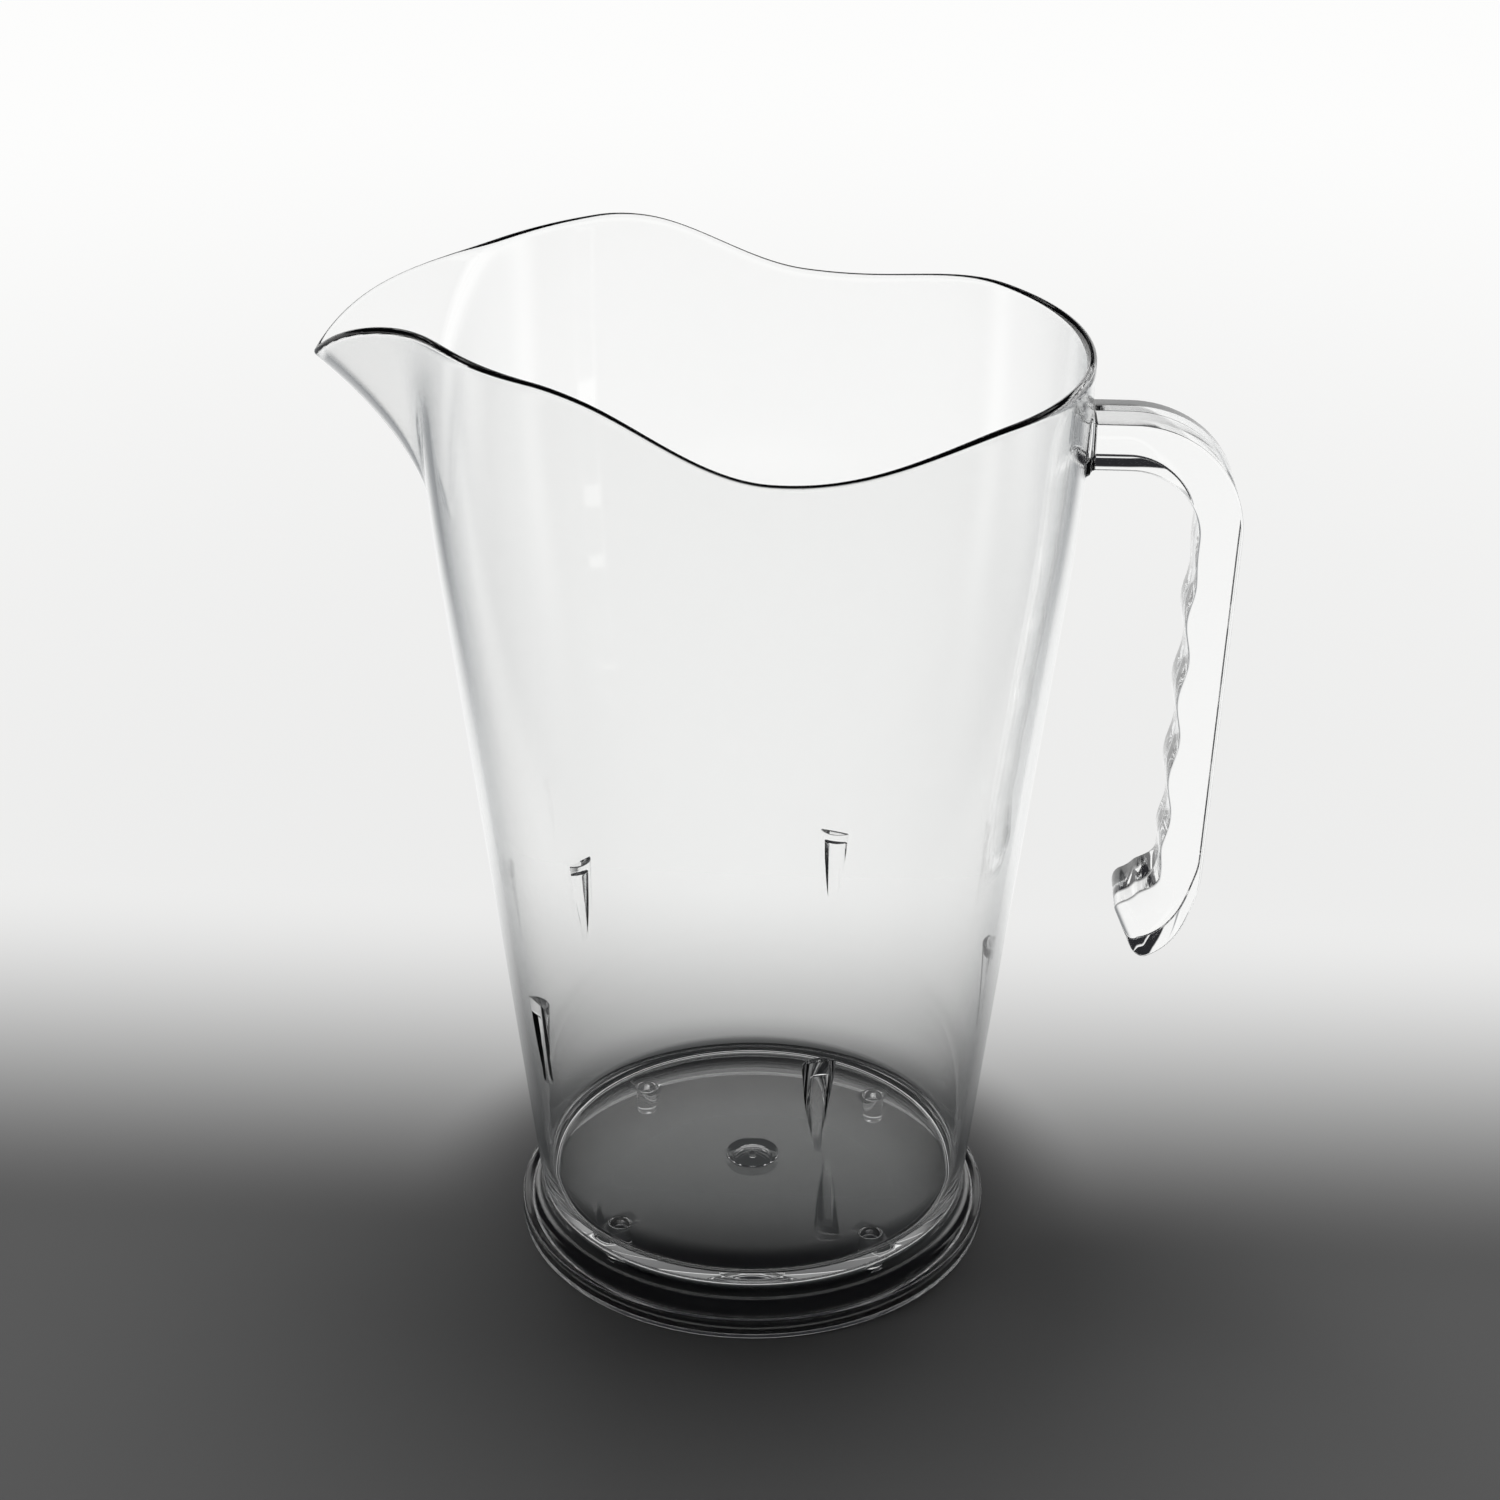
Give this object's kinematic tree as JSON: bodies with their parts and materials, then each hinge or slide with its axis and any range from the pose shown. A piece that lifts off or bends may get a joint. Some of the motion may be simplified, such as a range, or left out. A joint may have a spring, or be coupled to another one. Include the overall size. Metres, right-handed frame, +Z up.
{
  "type": "beer pitcher",
  "caption": "Clear moulded beer pitcher with a wavy rim, pulled spout, open bar handle with finger grooves, hollow foot and inside lugs for nested stacking",
  "frame": {"origin": "centre of the standing ring's underside, on the body's axis, where the foot meets the table", "axes": "+Z up along the body's axis, +X towards the handle, spout along -X, +Y to the left of the handle seen from the spout's side"},
  "size_m": [0.2045, 0.1476, 0.235],
  "materials": {
    "clear_plastic": "polished clear colourless plastic, seen through"
  },
  "bodies": {
    "root": {"jug_wall": "clear_plastic", "floor_panel": "clear_plastic", "gate_boss": "clear_plastic", "foot_skirt": "clear_plastic", "foot_ring": "clear_plastic", "handle_root": "clear_plastic", "handle_grip": "clear_plastic", "stacking_lug_1": "clear_plastic", "stacking_lug_2": "clear_plastic", "stacking_lug_3": "clear_plastic", "stacking_lug_4": "clear_plastic", "stacking_lug_5": "clear_plastic", "base_peg_1": "clear_plastic", "base_peg_2": "clear_plastic", "base_peg_3": "clear_plastic", "base_peg_4": "clear_plastic"}
  },
  "joints": []
}
